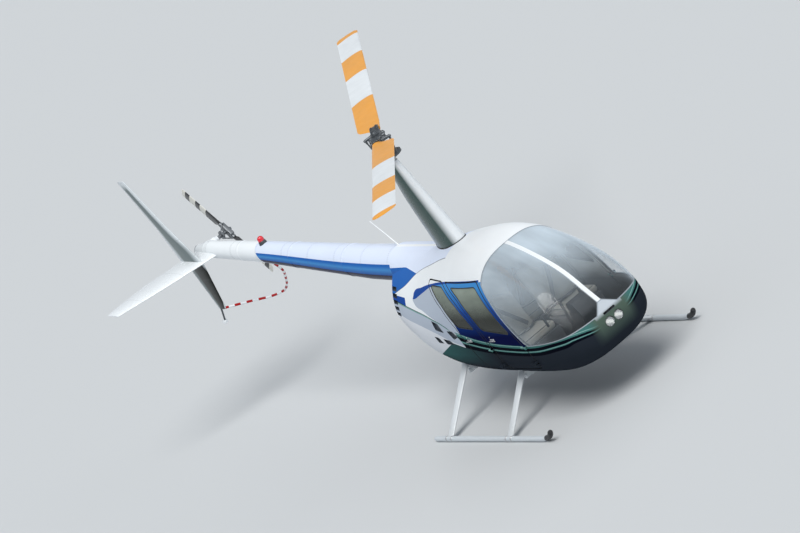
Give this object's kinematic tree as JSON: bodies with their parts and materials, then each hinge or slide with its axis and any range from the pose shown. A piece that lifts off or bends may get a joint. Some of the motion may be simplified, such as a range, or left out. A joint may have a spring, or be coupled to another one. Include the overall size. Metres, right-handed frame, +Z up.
{
  "type": "light four-seat helicopter",
  "caption": "Light piston helicopter parked on skids: two-blade main rotor on a tall mast fairing, bubble cabin with hinged doors, slim tail boom and side tail rotor.",
  "frame": {"origin": "ground level, under the middle of the bounding box", "axes": "+X forward to the nose, +Y to the left side, +Z up; the skids rest on z = 0"},
  "size_m": [10.9106, 4.794, 3.7239],
  "materials": {
    "white_paint": "gloss paint on the roof, cowl, fairing and post",
    "slate_paint": "dark metallic paint",
    "navy_paint": "dark blue gloss paint",
    "clear_glazing": "clear",
    "lamp_lens": "clear lens over a bright reflector",
    "grille_black": "matte",
    "bare_sheet": "satin",
    "engine_metal": "cast, dull",
    "exhaust_steel": "heat stained",
    "seat_box_grey": "matte",
    "seat_cloth": "woven cloth",
    "console_black": "matte",
    "column_black": "satin black",
    "hub_steel": "dark machined metal",
    "blade_paint": "gloss paint in orange and white bands",
    "boom_paint": "gloss paint, white above and blue along the side",
    "gearbox_paint": "gloss white paint",
    "tail_hub_grey": "satin",
    "tail_blade_black": "satin black with white bands",
    "surface_white": "gloss white paint",
    "surface_grey": "satin grey paint",
    "guard_red": "red and white bands",
    "beacon_red": "clear red lens",
    "aerial_white": "gloss",
    "gear_paint": "light paint",
    "skid_grey": "light grey paint"
  },
  "bodies": {
    "fuselage": {"cabin_tub": "slate_paint", "cabin_frame": "white_paint", "windshield_right": "clear_glazing", "windshield_left": "clear_glazing", "windshield_post": "white_paint", "landing_lamp_right": "lamp_lens", "landing_lamp_left": "lamp_lens", "engine_cowl": "white_paint", "rear_grille": "grille_black", "firewall": "bare_sheet", "engine_block": "engine_metal", "exhaust_pipe": "exhaust_steel", "seat_boxes": "seat_box_grey", "front_seat_right_cushion": "seat_cloth", "front_seat_right_back": "seat_cloth", "front_seat_left_cushion": "seat_cloth", "front_seat_left_back": "seat_cloth", "rear_seat_cushion": "seat_cloth", "rear_seat_back": "seat_cloth", "instrument_console": "console_black", "cyclic_column": "column_black", "mast_fairing": "white_paint", "tail_boom": "boom_paint", "tail_gearbox": "gearbox_paint", "horizontal_stabilizer": "surface_white", "upper_fin": "surface_grey", "lower_fin": "surface_white", "tail_guard": "guard_red", "tail_skid": "surface_white", "beacon": "beacon_red", "whip_aerial": "aerial_white", "front_gear_arch": "gear_paint", "rear_gear_arch": "gear_paint", "skid_right": "skid_grey", "skid_left": "skid_grey"},
    "front_right_door": {"front_door_right": "navy_paint", "front_window_right": "clear_glazing"},
    "front_left_door": {"front_door_left": "navy_paint", "front_window_left": "clear_glazing"},
    "rear_right_door": {"rear_door_right": "navy_paint", "rear_window_right": "clear_glazing"},
    "rear_left_door": {"rear_door_left": "navy_paint", "rear_window_left": "clear_glazing"},
    "main_rotor": {"main_rotor_hub": "hub_steel", "main_blade_1": "blade_paint", "main_blade_2": "blade_paint"},
    "tail_rotor": {"tail_rotor_hub": "tail_hub_grey", "tail_blade_1": "tail_blade_black", "tail_blade_2": "tail_blade_black"}
  },
  "joints": [
    {"name": "main_rotor_spin", "type": "hinge", "parent": "fuselage", "child": "main_rotor", "pos_m": [0.96293, -0.00732, 3.155], "axis": [0, 0, 1], "continuous": true},
    {"name": "tail_rotor_spin", "type": "hinge", "parent": "fuselage", "child": "tail_rotor", "pos_m": [-4.92707, 0.38468, 1.868], "axis": [0, 1, 0], "continuous": true},
    {"name": "front_right_door_hinge", "type": "hinge", "parent": "fuselage", "child": "front_right_door", "pos_m": [2.68093, -0.66732, 0.9], "axis": [0, 0, 1], "range_deg": [0, 65]},
    {"name": "front_left_door_hinge", "type": "hinge", "parent": "fuselage", "child": "front_left_door", "pos_m": [2.68093, 0.65268, 0.9], "axis": [0, 0, 1], "range_deg": [-65, 0]},
    {"name": "rear_right_door_hinge", "type": "hinge", "parent": "fuselage", "child": "rear_right_door", "pos_m": [1.94293, -0.67532, 0.9], "axis": [0, 0, 1], "range_deg": [0, 65]},
    {"name": "rear_left_door_hinge", "type": "hinge", "parent": "fuselage", "child": "rear_left_door", "pos_m": [1.94293, 0.66068, 0.9], "axis": [0, 0, 1], "range_deg": [-65, 0]}
  ],
  "couplings": [
    {"joint": "tail_rotor_spin", "follows": "main_rotor_spin", "ratio": -5.946}
  ]
}
